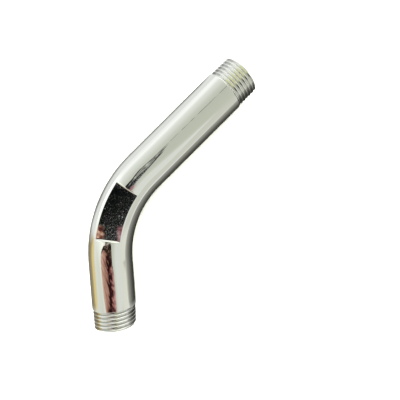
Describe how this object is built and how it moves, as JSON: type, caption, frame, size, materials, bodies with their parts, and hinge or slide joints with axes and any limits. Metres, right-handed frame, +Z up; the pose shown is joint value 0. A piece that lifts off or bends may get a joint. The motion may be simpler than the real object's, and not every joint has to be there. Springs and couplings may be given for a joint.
{
  "type": "shower arm",
  "caption": "Bent chrome-plated plastic shower arm: a moulded tube with a half-inch pipe thread on each end and spanner flats in its bend.",
  "frame": {"origin": "centre of the inlet's end face, on the axis of the inlet thread", "axes": "+Y out of the inlet along its thread, the bend towards +X in the XY plane, +Z up, so that the arm lies on its side"},
  "size_m": [0.0613, 0.1406, 0.0214],
  "materials": {
    "chrome_plated_abs": "bright chrome plating on moulded plastic, with light orange peel"
  },
  "bodies": {
    "root": {"shower_arm": "chrome_plated_abs"}
  },
  "joints": []
}
